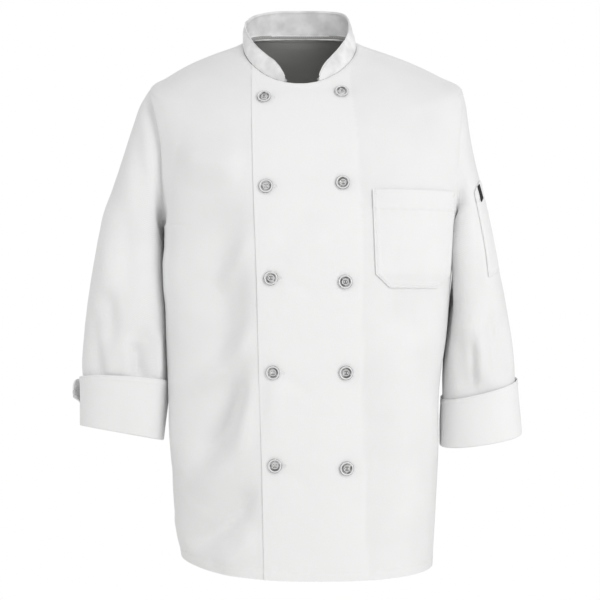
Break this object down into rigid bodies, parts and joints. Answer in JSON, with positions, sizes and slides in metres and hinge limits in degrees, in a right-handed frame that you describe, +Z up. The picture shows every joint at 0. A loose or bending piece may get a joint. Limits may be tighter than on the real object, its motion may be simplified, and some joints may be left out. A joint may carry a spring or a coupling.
{
  "type": "chef jacket",
  "caption": "Hollow double-breasted chef jacket with a stand collar, set-in sleeves, turned-back cuffs, a chest pocket and a narrow sleeve pocket.",
  "frame": {"origin": "midway between the shoulders, at the height where the shoulder seams meet the collar, where the wearer holds the jacket up", "axes": "+Z up, the front faces -Y, +X towards the wearer's left"},
  "size_m": [0.647, 0.267, 0.8181],
  "materials": {
    "white_twill": "matte woven twill",
    "pearl_button": "polished, slightly pearly",
    "black_tape": "matte woven tape"
  },
  "bodies": {
    "root": {"front_left": "white_twill", "front_right": "white_twill", "back": "white_twill", "sleeve_right": "white_twill", "sleeve_left": "white_twill", "collar": "white_twill", "cuff_right": "white_twill", "cuff_left": "white_twill", "chest_pocket": "white_twill", "sleeve_pocket": "white_twill", "pocket_tab": "black_tape", "button_right_1": "pearl_button", "button_left_1": "pearl_button", "button_right_2": "pearl_button", "button_left_2": "pearl_button", "button_right_3": "pearl_button", "button_left_3": "pearl_button", "button_right_4": "pearl_button", "button_left_4": "pearl_button", "button_right_5": "pearl_button", "button_left_5": "pearl_button"}
  },
  "joints": []
}
